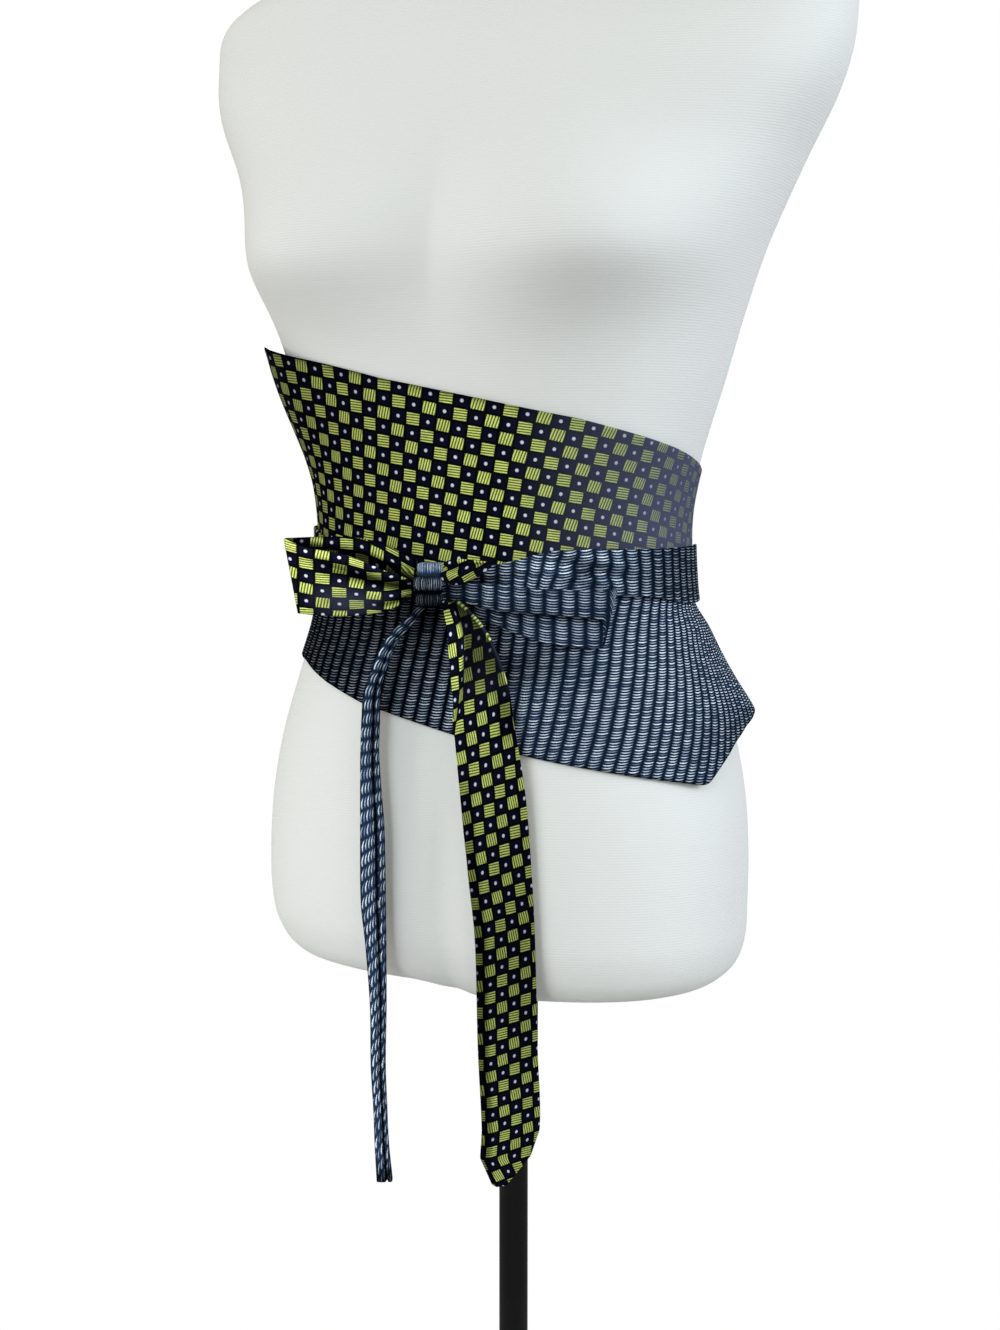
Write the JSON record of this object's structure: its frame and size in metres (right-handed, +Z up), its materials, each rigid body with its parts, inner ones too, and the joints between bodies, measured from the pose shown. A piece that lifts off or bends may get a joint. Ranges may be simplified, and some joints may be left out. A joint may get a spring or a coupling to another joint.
{
  "type": "obi belt on a limbless dress form with a stand",
  "caption": "Wide wrap belt of two patterned silk ties, pointed at both ends and tied in a front bow, worn on a limbless dress form that stands on a pole and round base.",
  "frame": {"origin": "centre of the base's underside, on the floor", "axes": "+Z up along the pole; the dress form faces -Y, so the bow is on the -Y side, and +X is the wearer's left"},
  "size_m": [0.4348, 0.33, 1.2893],
  "materials": {
    "check_silk": "woven silk check, soft sheen",
    "rib_silk": "ribbed woven silk, soft sheen",
    "form_jersey": "matt cream jersey",
    "black_metal": "satin black"
  },
  "bodies": {
    "root": {"upper_panel": "check_silk", "lower_panel": "rib_silk", "waist_strap_left": "check_silk", "waist_strap_right": "rib_silk", "knot": "rib_silk", "bow_loop_left": "check_silk", "bow_loop_right": "rib_silk", "bow_twist": "check_silk", "tail_left": "rib_silk", "tail_right": "check_silk", "form_torso": "form_jersey", "neck_cap": "form_jersey", "pole_collar": "black_metal", "pole": "black_metal", "base": "black_metal"}
  },
  "joints": []
}
